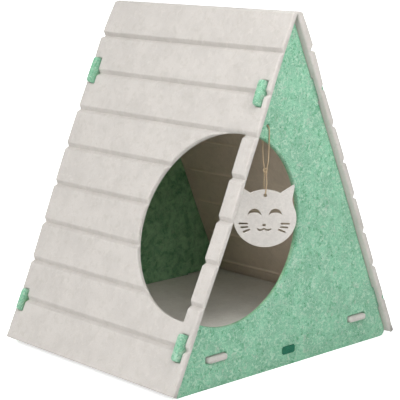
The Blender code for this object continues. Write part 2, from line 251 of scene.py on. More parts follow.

# ---- materials -------------------------------------------------------------------
# Tints of the faces inside the house, set by comparing with the photograph. They are painted light and
# shade in the felt's colour: the roof's inner faces are warmer (painted warm light and shade), the floor's
# lighter (painted light) and the gables' darker (painted shade) than the felt outside.
ROOF_INSIDE_PAINTED_LIGHT = (1.18, 1.03, 0.87)
FLOOR_INSIDE_PAINTED_LIGHT = (1.22, 1.24, 1.22)
GREEN_INSIDE_PAINTED_SHADE = (0.72, 0.84, 0.62)

# ---- lights, in columns: name, kind, place, energy, width in metres or degrees ---
LIGHTS = (
    ("front_left_box", "AREA", (-0.8, -1.5, 1.4), 11.3, 1.0),
    ("near_left_box", "AREA", (-1.0, -0.9, 0.8), 1.6, 0.8),
    ("top_box", "AREA", (-0.1, -0.7, 1.1), 5.2, 0.6),
    ("low_front", "SUN", (0.99, -2.72, 0.996), 0.45, 40),
    ("low_left", "SUN", (-2.85, -0.50, 0.996), 1.09, 40),
    ("high_left", "SUN", (-1.99, 0.73, 2.34), 1.42, 40),
    ("back_fill", "SUN", (1.7, 2.1, 2.0), 1.3, 60),
)
LIT_POINT = (0.0, 0.0, 0.22)
ROOM_LIGHT = 0.02
PAPER_GLOW = 0.66
PAPER_REACH = 12.0
PAPER_GAP = 0.0002              # between the sheet that is seen and the one under it

# ---- camera, by where it stands and how it looks, from the photograph ------------
CAMERA_PLACE = (-1.27936, -1.35055, 0.57062)
CAMERA_YAW = radians(43.363)
CAMERA_PITCH = radians(-11.253)
CAMERA_ROLL = radians(0.241)
CAMERA_LENS = 122.58            # millimetres on a 36 mm wide sensor


def length(name, description, default):
    """A length that the panel shows."""
    return FloatProperty(name=name, description=description, default=default, unit="LENGTH")


def swatch(name, description, default):
    """A colour that the panel shows as a swatch of linear red, green and blue."""
    return FloatVectorProperty(name=name, description=description, default=default,
                               subtype="COLOR", size=3, min=0.0, max=1.0)


class CaveSizes(bpy.types.PropertyGroup):
    """Sizes that a user would change."""
    felt: length("Felt", "Thickness of the roof, gable and floor felt", 0.008)
    thin_felt: length("Thin felt", "Thickness of the tag's felt", 0.003)
    outer_round: length("Outer edge", "Rounding of a sheet's outer edges", 0.0019)
    inner_round: length("Inner edge", "Rounding of the roof's inner edges", 0.0025)
    roof_depth: length("Roof depth", "Front edge to back edge of the roof", 0.350)
    slope: FloatProperty(name="Slope", description="Angle of each roof side above the floor",
                         default=radians(65.9), subtype="ANGLE")
    fold_height: length("Fold height", "Height of the fold between the inner faces", 0.4648)
    slope_length: length("Slope length", "Fold to lower edge along the inner face", 0.504)
    first_plank: length("First plank", "Fold to the first groove", 0.053)
    plank: length("Plank", "Distance from groove to groove", 0.056)
    groove_depth: length("Groove depth", "Depth of a pressed groove", 0.0045)
    entrance: length("Entrance radius", "Radius of the round entrance", 0.124)
    strip: length("Strip", "Width of the roof left in front of the side opening", 0.023)
    twine: length("Twine", "Diameter of the jute twine", 0.0018)


class CaveColours(bpy.types.PropertyGroup):
    """Colours that a user would change."""
    off_white: swatch("Off-white felt", "Main colour of the roof and floor", (0.620, 0.590, 0.556))
    off_white_fleck: swatch("Off-white fleck", "Darker fibres in the off-white felt", (0.50, 0.475, 0.43))
    green: swatch("Green felt", "Main colour of the gables", (0.245, 0.54, 0.36))
    green_fleck: swatch("Green fleck", "Darker fibres in the green felt", (0.08, 0.36, 0.18))
    green_pale: swatch("Pale green", "Lighter fibres in the green felt", (0.50, 0.70, 0.56))
    jute: swatch("Jute", "Colour of the twine", (0.52, 0.395, 0.25))
    patch: swatch("Patch", "Colour of the plain patch", (0.015, 0.13, 0.075))
    ground: swatch("Floor", "Colour of the studio floor", (0.90, 0.90, 0.90))


def sizes():
    """The sizes that the panel shows."""
    return bpy.context.scene.cave_sizes


def colours(*names):
    """Colours that the panel shows."""
    return [tuple(getattr(bpy.context.scene.cave_colours, name)) for name in names]


def slope_way():
    """How far one step down a slope goes across, and how far it falls."""
    return cos(sizes().slope), sin(sizes().slope)


# ---- flat outlines ---------------------------------------------------------------
def pairs(first, second):
    """Points from two coordinates, either of which may be one number for them all."""
    return np.column_stack(np.broadcast_arrays(first, second))


def ellipse_arc(centre, radii, first, last, steps):
    """Points centre + (a sin t, b cos t), with t from first to last."""
    t = np.linspace(first, last, steps + 1)
    return pairs(centre[0] + radii[0] * np.sin(t), centre[1] + radii[1] * np.cos(t))


def rounded(corners):
    """A loop through (x, z, radius) corners, each turned on an arc of its radius."""
    corners = np.array(corners, float)
    loop = []
    for corner, before, after in zip(corners, np.roll(corners, 1, 0), np.roll(corners, -1, 0)):
        point, radius = corner[:2], corner[2]
        if radius == 0.0:
            loop.append(point[None])
            continue
        to_before = (before[:2] - point) / norm(before[:2] - point)
        to_after = (after[:2] - point) / norm(after[:2] - point)
        half = acos(np.clip(to_before @ to_after, -1, 1)) / 2
        middle = to_before + to_after
        centre = point + middle / norm(middle) * radius / sin(half)
        first = atan2(*(point + to_before * radius / tan(half) - centre))
        last = atan2(*(point + to_after * radius / tan(half) - centre))
        sweep = (last - first + pi) % tau - pi
        loop.append(ellipse_arc(centre, (radius, radius), first, first + sweep, CORNER_STEPS))
    return np.vstack(loop)


def rounded_box(x, z, width, height, radius):
    """A rectangle about (x, z) with rounded corners."""
    sides = ((-1, -1), (1, -1), (1, 1), (-1, 1))
    return rounded([(x + i * width / 2, z + j * height / 2, radius) for i, j in sides])


def circle(centre, radius, step):
    """A closed circle with a point about every step."""
    return ellipse_arc(centre, (radius, radius), 0.0, tau, max(16, round(tau * radius / step)))[:-1]


def mirrored(half):
    """Closes a loop given from the middle, down its +X side, to the middle."""
    half = np.vstack(half)
    other = half[half[:, 0] > 1e-9][::-1] * (-1, 1)
    return np.vstack((half, other))


def split_long(loop, step):
    """Adds even points so that no side of the loop is longer than step."""
    out = []
    for a, b in zip(loop, np.roll(loop, -1, 0)):
        count = max(1, ceil(norm(b - a) / step))
        out.append(a + (b - a) * (np.arange(count) / count)[:, None])
    return np.vstack(out)


def in_blocks(points, side_count):
    """Splits the points so that points times sides stays a few million."""
    return np.array_split(np.arange(len(points)), 1 + len(points) * side_count // 3_000_000)


def edge_distance(points, loops):
    """Distance from each point to the nearest side of any loop."""
    best = np.full(len(points), np.inf)
    for loop in loops:
        side = np.roll(loop, -1, 0) - loop
        square = (side ** 2).sum(1)
        for block in in_blocks(points, len(loop)):
            to_point = points[block, None] - loop
            along = np.clip((to_point * side).sum(-1) / square, 0, 1)
            gap = norm(to_point - along[..., None] * side, axis=-1).min(1)
            best[block] = np.minimum(best[block], gap)
    return best


def within(points, loops):
    """True where a point has an odd number of loop sides to its right."""
    odd = np.zeros(len(points), bool)
    for loop in loops:
        far = np.roll(loop, -1, 0)
        rise = np.where(far[:, 1] == loop[:, 1], 1.0, far[:, 1] - loop[:, 1])
        for block in in_blocks(points, len(loop)):
            x, z = points[block, 0][:, None], points[block, 1][:, None]
            crosses = (loop[:, 1] > z) != (far[:, 1] > z)
            at = loop[:, 0] + (z - loop[:, 1]) * (far[:, 0] - loop[:, 0]) / rise
            odd[block] ^= (crosses & (x < at)).sum(1) % 2 == 1
    return odd


def edge_rings(loops, radius):
    """Rings inside the outline and round its holes, close enough to round the edge.

    A ring lies radius * (1 - cos of its angle) from the edge. Points that another part of
    the edge comes closer to are left out.
    """
    rings = []
    shares = [radius * (1 - cos(radians(angle))) for angle in RING_ANGLES] + [LAST_RING * radius]
    for loop in loops:
        ahead = np.roll(loop, -1, 0) - loop
        ahead /= norm(ahead, axis=1)[:, None]
        across = ahead + np.roll(ahead, 1, 0)
        across = pairs(-across[:, 1], across[:, 0])
        across /= norm(across, axis=1)[:, None]
        lean = np.clip((across * pairs(-ahead[:, 1], ahead[:, 0])).sum(1), 0.5, 1)
        for share in shares:
            for side in (-1, 1):
                ring = loop + side * across * (share / lean)[:, None]
                clear = edge_distance(ring, loops) > RING_KEEP * share
                rings.append(ring[within(ring, loops) & clear])
    return np.vstack(rings)


# ---- meshes ----------------------------------------------------------------------
def new_piece(name, points, faces, material, attributes=()):
    """A smooth mesh object at the origin from arrays of points and faces."""
    mesh = bpy.data.meshes.new(name)
    mesh.from_pydata(points.tolist(), [], faces)
    mesh.shade_smooth()
    for label, values in attributes:
        layer = mesh.attributes.new(label, "FLOAT", "POINT")
        layer.data.foreach_set("value", np.asarray(values, np.float32))
    mesh.materials.append(material)
    piece = bpy.data.objects.new(name, mesh)
    bpy.context.scene.collection.objects.link(piece)
    return piece


def felt_piece(name, loops, columns, rows, place, material, thick, outer_round, inner_round,
               pressed=None, ribs=None, crisp=0):
    """A closed felt sheet from its flat outline and holes.

    The points are the loops, the rings beside them and a grid of columns and rows. A
    point at distance d from the edge lies thick - r + sqrt(r^2 - (r - d)^2) over the inner
    face, less what is pressed there. The inner face is rounded the same way and has the
    ribs, but keeps a sharp edge at the last crisp loops. place turns flat coordinates and
    that height into space.
    """
    grid = np.stack(np.meshgrid(columns, rows, indexing="ij"), -1).reshape(-1, 2)
    grid = grid[within(grid, loops)]
    grid = grid[edge_distance(grid, loops) > GRID_CLEAR * outer_round]
    flat = np.vstack([*loops, edge_rings(loops, outer_round), grid]) / MM
    found = delaunay_2d_cdt(flat.tolist(), [], [], 0, 1e-3, False)
    flat = np.array([tuple(p) for p in found[0]]) * MM
    triangles = np.array(found[2])
    triangles = triangles[within(flat[triangles].mean(1), loops)]
    used, triangles = np.unique(triangles, return_inverse=True)
    triangles = triangles.reshape(-1, 3)
    flat = flat[used]
    count = len(flat)

    none = np.zeros(count)
    distance = edge_distance(flat, loops)
    depth = pressed(flat) if pressed else none
    rise = ribs(flat) if ribs else none
    outer = place(flat, thick - depth - round_off(distance, outer_round))
    inner = place(flat, round_off(edge_distance(flat, loops[:len(loops) - crisp]), inner_round) - rise)

    sides = np.vstack([triangles[:, [0, 1]], triangles[:, [1, 2]], triangles[:, [2, 0]]])
    _, which, times = np.unique(np.sort(sides, 1) @ (count, 1), return_inverse=True, return_counts=True)
    rim = sides[times[which] == 1]
    wall = np.column_stack((rim[:, 1], rim[:, 0], rim[:, 0] + count, rim[:, 1] + count))
    faces = triangles.tolist() + (triangles[:, ::-1] + count).tolist() + wall.tolist()

    closeness = np.clip(1 - distance / (EDGE_BAND * outer_round), 0, 1)
    attributes = (
        ("pressed", np.concatenate((depth, none))),
        ("raised", np.concatenate((none, rise))),
        ("edge", np.concatenate((closeness, closeness))),
        ("indoors", np.concatenate((indoors(outer, 0.0), indoors(inner, ROOF_TOUCH)))),
    )
    return new_piece(name, np.vstack((outer, inner)), faces, material, attributes)


def round_off(distance, radius):
    """How far a rounded edge has dropped at a distance from the edge."""
    return radius - np.sqrt(radius ** 2 - (radius - np.minimum(distance, radius)) ** 2)


def indoors(points, reach):
    """1 where a point is between the gables and less than reach outside the slopes' inner
    planes, 0 elsewhere."""
    run, fall = slope_way()
    out = np.abs(points[:, 0]) * fall + (points[:, 2] - sizes().fold_height) * run
    between = (points[:, 1] > FRONT_GABLE_Y) & (points[:, 1] < BACK_GABLE_Y)
    return (between & (out < reach)).astype(float)


def dress(piece, node):
    """Rides the piece on the house in place of its CAD node."""
    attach(piece, "root")
    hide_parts(node)


# ---- roof ------------------------------------------------------------------------
def groove_places():
    """Distances of the grooves down a slope from the fold."""
    return sizes().first_plank + sizes().plank * np.arange(GROOVE_COUNT)


def groove_offset(flat):
    """Distance from each point to the nearest groove's middle."""
    return np.abs(np.abs(flat[:, :1]) - groove_places()).min(1)


def groove_ribs(flat):
    """Height of the ribs on the inner face: exp(-(distance / half width)^2)."""
    between = np.clip((RIB_END - np.abs(flat[:, 1])) / RIB_FADE, 0, 1)
    back = (flat[:, 1] - RIB_FRONT) / RIB_FRONT_FADE
    lowest = (np.abs(flat[:, 0]) - RIB_LOWEST) / RIB_FRONT_FADE
    kept = np.clip(np.maximum(back, lowest), RIB_FAINT, 1)
    return RIB_HEIGHT * np.exp(-(groove_offset(flat) / RIB_HALF) ** 2) * between * kept


def groove_press(flat):
    """Depth pressed into the outer face: straight walls, then a rounded rim."""
    deep = sizes().groove_depth
    off = groove_offset(flat)
    soft = np.sqrt(off ** 2 + GROOVE_FLOOR ** 2) - GROOVE_FLOOR
    wall = deep - (deep - GROOVE_RIM_DROP) * soft / GROOVE_WALL
    rim = GROOVE_RIM_DROP * np.clip((GROOVE_RIM - off) / (GROOVE_RIM - GROOVE_WALL), 0, 1) ** 2
    return np.where(off < GROOVE_WALL, np.maximum(wall, 0.0), rim)


def catmull_rom(a, b, c, d, t):
    """The smooth curve from b (t = 0) to c (t = 1), with a before and d after them."""
    square = 2 * a - 5 * b + 4 * c - d
    cube = 3 * b - a - 3 * c + d
    return 0.5 * (2 * b + (c - a) * t + square * t ** 2 + cube * t ** 3)


def between_rows(down, rows):
    """A value from rows SLOPE_STEP apart, on the smooth curve (Catmull-Rom) through them."""
    rows = np.concatenate((2 * rows[:1] - rows[1:2], rows, 2 * rows[-1:] - rows[-2:-1]))
    at = np.clip(down / SLOPE_STEP, 0.0, len(rows) - 3 - 1e-6)
    first = at.astype(int)
    return catmull_rom(*(rows[first + k] for k in range(4)), at - first)


def bump_shape(value, middle, half):
    """cos of a right angle's share: 1 at the middle, 0 from half away."""
    return np.cos(np.clip((value - middle) / half, -1, 1) * pi / 2)


def roof_bow(side, down, y):
    """How far the sheet has moved out of its slope's plane.

    Each edge's rows fade towards the other edge as the square of the distance, and a
    smooth bump is on the strip beside the opening.
    """
    depth = sizes().roof_depth
    back = np.clip(y / depth + 0.5, 0, 1)
    left, right = (between_rows(down, front) * (1 - back) ** 2 + between_rows(down, rear) * back ** 2
                   for front, rear in np.transpose(SLOPE_BOW).reshape(2, 2, -1))
    front = np.clip((BOW_BACK - y) / (depth / 2 + BOW_BACK), 0, 1)
    bump = BOW_IN * bump_shape(down, BOW_DOWN, BOW_HALF) ** 2 * front ** 2 * (3 - 2 * front)
    return np.where(side < 0, left - bump, right)


def on_roof(flat, height):
    """Folds the flat sheet: (u, y) with u negative on the left slope, height over the
    inner face. Near the fold the outer face follows a half ellipse, the ridge."""
    s = sizes()
    run, fall = slope_way()
    side, down = np.sign(flat[:, 0]), np.abs(flat[:, 0])
    turn = np.clip(flat[:, 0] / RIDGE_END, -1, 1) * pi / 2
    share = height / s.felt
    swell = SWELL * bump_shape(down, SWELL_DOWN, SWELL_HALF)
    swell *= np.where(side < 0, (flat[:, 1] / s.roof_depth + 0.5) ** 2, 1.0)
    lift = (roof_bow(side, down, flat[:, 1]) + swell * np.clip(share, 0, 1)) * np.abs(np.sin(turn))
    x = side * down * run
    z = s.fold_height - down * fall
    near = down < RIDGE_END
    out_x = np.where(near, (RIDGE_HALF * np.sin(turn) - x) * share, side * height * fall)
    out_z = np.where(near, (s.fold_height + RIDGE_RISE * np.cos(turn) - z) * share, height * run)
    return np.column_stack((x + out_x + side * lift * fall, flat[:, 1], z + out_z + lift * run))


def roof_columns():
    """Grid lines along the ridge, close together in each groove and over the ridge."""
    s = sizes()
    across = np.array([0.0, 0.3, 0.8, 1.5, 2.3, 3.2, 4.1, 4.7, 5.3, 6.2, 9.0]) * MM
    places = groove_places()[:, None]
    lines = places + np.concatenate((-across, across[1:]))
    planks = places + s.plank * np.array([0.25, 0.37, 0.5, 0.63, 0.75])
    ridge = RIDGE_END * np.array([0, 12, 24, 36, 48, 58, 67, 75, 82, 90]) / 90
    first = np.array([6.0, 12.0, 20.0, 28.0, 36.0]) * MM
    half = np.unique(np.concatenate((ridge, first, lines.ravel(), planks.ravel())).round(6))
    half = half[half < s.slope_length - 0.5 * MM]
    return np.concatenate((-half[:0:-1], half))


def lines_between(lines, low, high):
    """The grid lines well inside a span."""
    return lines[(lines > low + SPACING) & (lines < high - SPACING)]


def opening_loop(columns):
    """The side opening in the flat sheet: a circle cut straight along the strip, with a
    point wherever a grid line meets it."""
    s = sizes()
    strip_edge = -s.roof_depth / 2 + s.strip
    start = acos((strip_edge - SIDE_ENTRANCE[1]) / s.entrance)
    reach = (columns - SIDE_ENTRANCE[0]) / s.entrance
    crossed = np.arcsin(reach[np.abs(reach) < OPENING_REACH])
    angles = np.concatenate((crossed, np.linspace(-start, start, OPENING_POINTS)))
    angles = np.unique(angles[np.abs(angles) < start - OPENING_CORNER].round(5))
    angles = angles[np.concatenate(([True], np.diff(angles) > OPENING_GAP))]
    angles = np.concatenate(([-start], angles, [start]))
    curve = SIDE_ENTRANCE + s.entrance * pairs(np.sin(angles), np.cos(angles))
    straight = lines_between(columns, curve[0, 0], curve[-1, 0])[::-1]
    return np.vstack((curve, pairs(straight, strip_edge)))


def roof_slots(columns):
    """The slots for the gables' tabs, in the flat sheet."""
    half = sizes().felt / 2
    loops = []
    for gable, tabs in ((FRONT_GABLE_Y, FRONT_TABS), (BACK_GABLE_Y, BACK_TABS)):
        front, back = gable - half - ROOF_SLOT_PLAY_FRONT, gable + half + PLAY
        middle = np.array([0.25, 0.5, 0.75]) * (back - front) + front
        for tab, tab_length, _ in tabs:
            upper, lower = tab - tab_length / 2 - ROOF_SLOT_PLAY_UP, tab + tab_length / 2 + PLAY
            lines = np.concatenate(([upper], lines_between(columns, upper, lower), [lower]))
            loop = np.vstack((pairs(lines, front), pairs(lower, middle), pairs(lines[::-1], back),
                              pairs(upper, middle[::-1])))
            loops += [loop, loop * (-1, 1)]
    return loops


class CAVE_OT_roof(bpy.types.Operator):
    """Make the folded and grooved roof sheet"""
    bl_idname = "cave.roof"
    bl_label = "Roof"

    def execute(self, context):
        s = sizes()
        columns = roof_columns()
        end, depth = s.slope_length, s.roof_depth / 2
        rows = np.linspace(-depth, depth, ROOF_ROWS)
        front = pairs(np.concatenate(([-end], columns, [end])), -depth)
        right = pairs(end, rows[1:-1])
        outline = np.vstack((front, right, front[::-1] * (1, -1), right[::-1] * (-1, 1)))
        slots = roof_slots(columns[columns > 0])
        roof = felt_piece("roof_felt", [outline, opening_loop(columns), *slots], columns, rows, on_roof,
                          off_white_felt("roof_white", ROOF_INSIDE_PAINTED_LIGHT), s.felt, s.outer_round, s.inner_round,
                          groove_press, groove_ribs, len(slots))
        dress(roof, "roof")
        return {"FINISHED"}


# ---- gables ----------------------------------------------------------------------
def slope_point(down, out):
    """Across and height of a point down the right slope and out from its inner face."""
    run, fall = slope_way()
    return down * run + out * fall, sizes().fold_height - down * fall + out * run


def gable_top():
    """Height of a gable's point, with play under the fold."""
    return sizes().fold_height - PLAY / slope_way()[0]


def gable_outline(tabs):
    """A gable: up to the fold, two tabs through each slope, and rounded feet."""
    s = sizes()
    run, fall = slope_way()
    edge = [(0.0, gable_top(), 0.0)]
    for tab, tab_length, proud in tabs:
        upper, lower, tip = tab - tab_length / 2, tab + tab_length / 2, s.felt + proud
        for down, out, radius in ((upper, -PLAY, 0.0), (upper, tip, TAB_ROUND),
                                  (lower, tip, TAB_ROUND), (lower, -PLAY, 0.0)):
            edge.append((*slope_point(down, out), radius))
    foot = slope_point((s.fold_height - PLAY * run) / fall, -PLAY)[0]
    edge += [(foot, 0.0, FOOT_ROUND), (0.0, 0.0, 0.0)]
    return split_long(mirrored([rounded(edge)]), GABLE_STEP)


def floor_slots():
    """The slots in a gable that the floor panel's tabs come through."""
    low = FLOOR_TOP - sizes().felt - PLAY
    high = FLOOR_TOP + FLOOR_SLOT_PLAY_TOP
    size = (FLOOR_SLOT_LENGTH, high - low, FLOOR_SLOT_ROUND)
    return [split_long(rounded_box(x, (low + high) / 2, *size), FLOOR_SLOT_STEP) for x in FLOOR_SLOT_X]


def arc_in_gable(outline):
    """The gable's outline with the round entrance taken out of its left side.

    The outline's points inside the circle go, and the part of the circle inside the
    gable takes their place, joined where the two loops cross.
    """
    radius = sizes().entrance
    centre, way = np.array(ENTRANCE), -np.array(slope_way())
    top = np.array((0.0, gable_top()))
    foot = top + (centre - top) @ way * way
    half = sqrt(radius ** 2 - ((centre - foot) ** 2).sum())
    ends = [foot - half * way, foot + half * way]
    first, last = (atan2(*(end - centre)) for end in ends)
    curve = ellipse_arc(centre, (radius, radius), first, last + tau * (last < first), ENTRANCE_STEPS)
    outside = norm(outline - centre, axis=1) > radius + ENTRANCE_CLEAR
    start = int(np.argmax(~outside & np.roll(outside, 1)))
    turned = np.roll(outline, -start, 0)[np.roll(outside, -start)]
    goes_on = norm(turned[-1] - ends[0]) < norm(turned[-1] - ends[1])
    return np.vstack((turned, curve if goes_on else curve[::-1]))


def follow_roof(loop, y):
    """Moves the points near a gable's sloping edges out as far as the roof bows there."""
    run, fall = slope_way()
    side, across = np.sign(loop[:, 0]), np.abs(loop[:, 0])
    below = sizes().fold_height - loop[:, 1]
    out = across * fall - below * run
    bow = roof_bow(side, across * run + below * fall, np.full(len(loop), y))
    move = bow * np.clip(1 + out / GABLE_GIVE, 0, 1)
    return loop + move[:, None] * pairs(side * fall, run)


def upright(y, thick, facing):
    """Stands a flat (x, z) sheet across the house, its outer face to the front for a
    facing of -1 and to the back for 1."""
    return lambda flat, height: np.column_stack((flat[:, 0], y + facing * (height - thick / 2), flat[:, 1]))


class CAVE_OT_gables(bpy.types.Operator):
    """Make the two green gables"""
    bl_idname = "cave.gables"
    bl_label = "Gables"

    def execute(self, context):
        s = sizes()
        grid = [np.linspace(*span) for span in GABLE_GRID]
        felt = (green_felt(), s.felt, s.outer_round, GABLE_INNER_ROUND)
        outline = follow_roof(arc_in_gable(gable_outline(FRONT_TABS)), FRONT_GABLE_Y)
        loops = [outline, circle((HANG_X, HANG_Z), HANG_HOLE / 2, HANG_HOLE_STEP), *floor_slots()]
        front = felt_piece("front_gable_felt", loops, *grid, upright(FRONT_GABLE_Y, s.felt, -1), *felt)
        dress(front, "gable_front")
        loops = [follow_roof(gable_outline(BACK_TABS), BACK_GABLE_Y), *floor_slots()]
        back = felt_piece("back_gable_felt", loops, *grid, upright(BACK_GABLE_Y, s.felt, 1), *felt)
        dress(back, "gable_back")
        return {"FINISHED"}


# ---- floor panel -----------------------------------------------------------------
def floor_outline():
    """The floor panel with two tabs through each gable."""
    half = sizes().felt / 2
    corners = []
    for gable, side in ((FRONT_GABLE_Y, 1), (BACK_GABLE_Y, -1)):
        wall = gable + side * (half + PLAY)
        tip = gable - side * (half + FLOOR_TAB_PROUD)
        row = [(-FLOOR_HALF_WIDTH, wall, 0.0)]
        for x in FLOOR_TAB_X:
            left, right = x - FLOOR_TAB_LENGTH / 2, x + FLOOR_TAB_LENGTH / 2
            row += [(left, wall, 0.0), (left, tip, FLOOR_TAB_ROUND)]
            row += [(right, tip, FLOOR_TAB_ROUND), (right, wall, 0.0)]
        row.append((FLOOR_HALF_WIDTH, wall, 0.0))
        corners += row[::side]
    return split_long(rounded(corners), FLOOR_STEP)


class CAVE_OT_floor_panel(bpy.types.Operator):
    """Make the raised floor panel"""
    bl_idname = "cave.floor_panel"
    bl_label = "Floor panel"

    def execute(self, context):
        felt = sizes().felt

        def level(flat, height):
            """Lays the sheet under the floor's top."""
            return np.column_stack((flat, FLOOR_TOP - felt + height))

        grid = [np.linspace(*span) for span in FLOOR_GRID]
        panel = felt_piece("floor_felt", [floor_outline()], *grid, level,
                           off_white_felt("floor_white", FLOOR_INSIDE_PAINTED_LIGHT), felt,
                           FLOOR_EDGE_ROUND, FLOOR_EDGE_ROUND)
        dress(panel, "floor_panel")
        return {"FINISHED"}


# ---- cat's head tag --------------------------------------------------------------
def head_outline():
    """The cat's head: an elliptical crown and cheeks, and two pointed ears."""
    crown = ellipse_arc((0, 0), HEAD_HALF, 0.0, EAR_INNER, CROWN_STEPS)
    ear = rounded([(*crown[-1], 0.0), (*EAR_TIP, EAR_ROUND), (*EAR_FOOT, 0.0)])[1:]
    cheek = ellipse_arc((0, 0), HEAD_HALF, EAR_OUTER, pi, CHEEK_STEPS)
    cheek[-1, 0] = 0.0
    return split_long(mirrored([crown, ear, cheek]), HEAD_STEP)


def eye(side):
    """A closed, smiling eye: a crescent between two arcs."""
    rise, fall = (ellipse_arc((side * EYE_X, EYE_BASE), (EYE_HALF_WIDTH, height), -turn, turn, EYE_STEPS)
                  for height, turn in ((EYE_OUTER_RISE, pi / 2), (EYE_INNER_RISE, -pi / 2)))
    return np.vstack((rise, fall[1:-1]))


def mouth():
    """Two shallow dips side by side, drooping to the ends, a stroke wide."""
    share = np.linspace(-1, 1, MOUTH_POINTS)
    z = MOUTH_Z - MOUTH_DIP * np.abs(np.sin(pi * share)) - MOUTH_DROOP * share ** 2
    middle = pairs(MOUTH_HALF_WIDTH * share, z)
    return np.vstack((middle + (0, MOUTH_STROKE / 2), middle[::-1] - (0, MOUTH_STROKE / 2)))


def whisker(side, x_in, z_in, x_out, z_out):
    """A straight stroke with round ends."""
    tilt = atan2(side * (x_out - x_in), z_out - z_in)
    radii = (WHISKER_STROKE / 2, WHISKER_STROKE / 2)
    ends = [ellipse_arc((side * x, z), radii, turn - pi / 2, turn + pi / 2, CORNER_STEPS)
            for x, z, turn in ((x_out, z_out, tilt), (x_in, z_in, tilt + pi))]
    return split_long(np.vstack(ends), FINE_STEP)


def about_twine(across, out, height, turn=TAG_TURN):
    """Places points by a felt that is turned about the twine: along it, out of it, height."""
    x = HANG_X + across * cos(turn) + out * sin(turn)
    y = FRONT_GABLE_Y + across * sin(turn) - out * cos(turn)
    return np.column_stack((x, y, height))


class CAVE_OT_cat_tag(bpy.types.Operator):
    """Make the felt cat's head that hangs in the entrance"""
    bl_idname = "cave.cat_tag"
    bl_label = "Cat's head tag"

    def execute(self, context):
        thick = sizes().thin_felt
        hole = circle((0.0, TAG_HOLE_Z - TAG_Z), TAG_HOLE / 2, TAG_HOLE_STEP)
        nose = ellipse_arc((0.0, NOSE_Z), NOSE_HALF, 0.0, tau, NOSE_STEPS)[:-1]
        muzzle = [nose, mouth(), *(whisker(side, *row) for side in (-1, 1) for row in WHISKERS)]
        loops = [head_outline(), eye(-1), eye(1), hole, *(loop + (MUZZLE_X, 0.0) for loop in muzzle)]

        def hang(flat, height):
            """Turns the head about the twine, its outer face to the front left."""
            return about_twine(flat[:, 0], height - thick / 2, TAG_Z + flat[:, 1])

        grid = np.arange(*TAG_GRID)
        tag = felt_piece("cat_head_felt", loops, grid, grid, hang, tag_felt(), thick, TAG_EDGE, TAG_EDGE)
        dress(tag, "cat_tag")
        return {"FINISHED"}


# ---- twine -----------------------------------------------------------------------
def smooth_path(route, step):
    """Even steps along the smooth curve (Catmull-Rom) through a route's points."""
    padded = np.vstack((2 * route[0] - route[1], route, 2 * route[-1] - route[-2]))
    t = (np.arange(CURVE_PARTS) / CURVE_PARTS)[:, None]
    parts = [catmull_rom(*four, t) for four in zip(padded, padded[1:], padded[2:], padded[3:])]
    fine = np.vstack((*parts, route[-1:]))
    along = np.concatenate(([0.0], np.cumsum(norm(np.diff(fine, axis=0), axis=1))))
    even = np.linspace(0.0, along[-1], round(along[-1] / step) + 1)
    return np.column_stack([np.interp(even, along, fine[:, k]) for k in range(3)])


def loop_path(half, turn):
    """Both strands of a loop, from half of it in columns: out, sideways, height; turn is
    the angle of the felt that it goes through."""
    half = np.array(half)
    out, sideways, height = np.vstack((half, half[half[:, 0] > 0][::-1] * (-1, -1, 1))).T
    return smooth_path(about_twine(sideways, out, height, turn), TWINE_STEP)


def path_length(path):
    """Length of a path of points."""
    return float(norm(np.diff(path, axis=0), axis=1).sum())


def twisted_tube(name, path, radius, material, closed=False):
    """A two-ply twine along a path.

    Ring n has radius r * (0.84 + 0.16 cos 2(a - w)) at angle a, where w grows by a full
    turn for each TWIST_LENGTH, so two rounded plies wind round each other. The ring's axes
    are carried along the path without spinning.
    """
    count, around = len(path), 16
    ahead = np.roll(path, -1, 0) - np.roll(path, 1, 0) if closed else np.gradient(path, axis=0)
    ahead /= norm(ahead, axis=1)[:, None]
    side = np.cross(ahead[0], (0.31, 0.83, 0.47))
    sides = []
    for direction in ahead:
        side = side - direction * (side @ direction)
        side = side / norm(side)
        sides.append(side)
    sides = np.array(sides)
    others = np.cross(ahead, sides)
    step = norm(np.diff(path, axis=0, append=path[:1]), axis=1)
    wound = np.concatenate(([0.0], np.cumsum(step)[:-1])) * tau / TWIST_LENGTH
    angle = np.linspace(0.0, tau, around, endpoint=False)
    size = radius * (0.84 + 0.16 * np.cos(2 * (angle - wound[:, None])))
    ring = (size * np.cos(angle))[..., None] * sides[:, None]
    ring += (size * np.sin(angle))[..., None] * others[:, None]
    points = (path[:, None] + ring).reshape(-1, 3)
    row = np.arange(count if closed else count - 1)[:, None] * around
    k = np.arange(around)
    after = (k + 1) % around
    up = (row + around) % (count * around)
    faces = np.stack((row + k, row + after, up + after, up + k), -1).reshape(-1, 4).tolist()
    if not closed:
        faces += [list(range(around))[::-1], list(range((count - 1) * around, count * around))]
    attributes = (("twist", np.repeat(wound, around)), ("around", np.tile(angle, count)))
    return new_piece(name, points, faces, material, attributes)


def knot_path():
    """A small trefoil knot, taller than wide: sin t + 2 sin 2t across, cos t - 2 cos 2t
    up and -sin 3t deep, each at its own scale."""
    t = np.linspace(0.0, tau, KNOT_POINTS, endpoint=False)
    across = (np.sin(t) + 2 * np.sin(2 * t)) / 3 * KNOT_HALF[0]
    up = (np.cos(t) - 2 * np.cos(2 * t)) / 3 * KNOT_HALF[1]
    return about_twine(across, -np.sin(3 * t) * KNOT_HALF[2], KNOT_Z + up)


class CAVE_OT_twine(bpy.types.Operator):
    """Make the twine loops and their knot"""
    bl_idname = "cave.twine"
    bl_label = "Twine"

    def execute(self, context):
        radius = sizes().twine / 2
        jute = jute_twine()
        knot = twisted_tube("twine_knot", knot_path(), radius * KNOT_THICK, jute, closed=True)
        dress(knot, "string_knot")
        rows = (
            ("twine_upper", "string_upper", UPPER_LOOP, 0.0, [knot]),
            ("twine_lower", "string_lower", LOWER_LOOP, TAG_TURN, []),
        )
        for name, node, half, turn, pieces in rows:
            path = loop_path(half, turn)
            strand = twisted_tube(name, path, radius, jute)
            dress(strand, node)
            path_length(path)
        return {"FINISHED"}


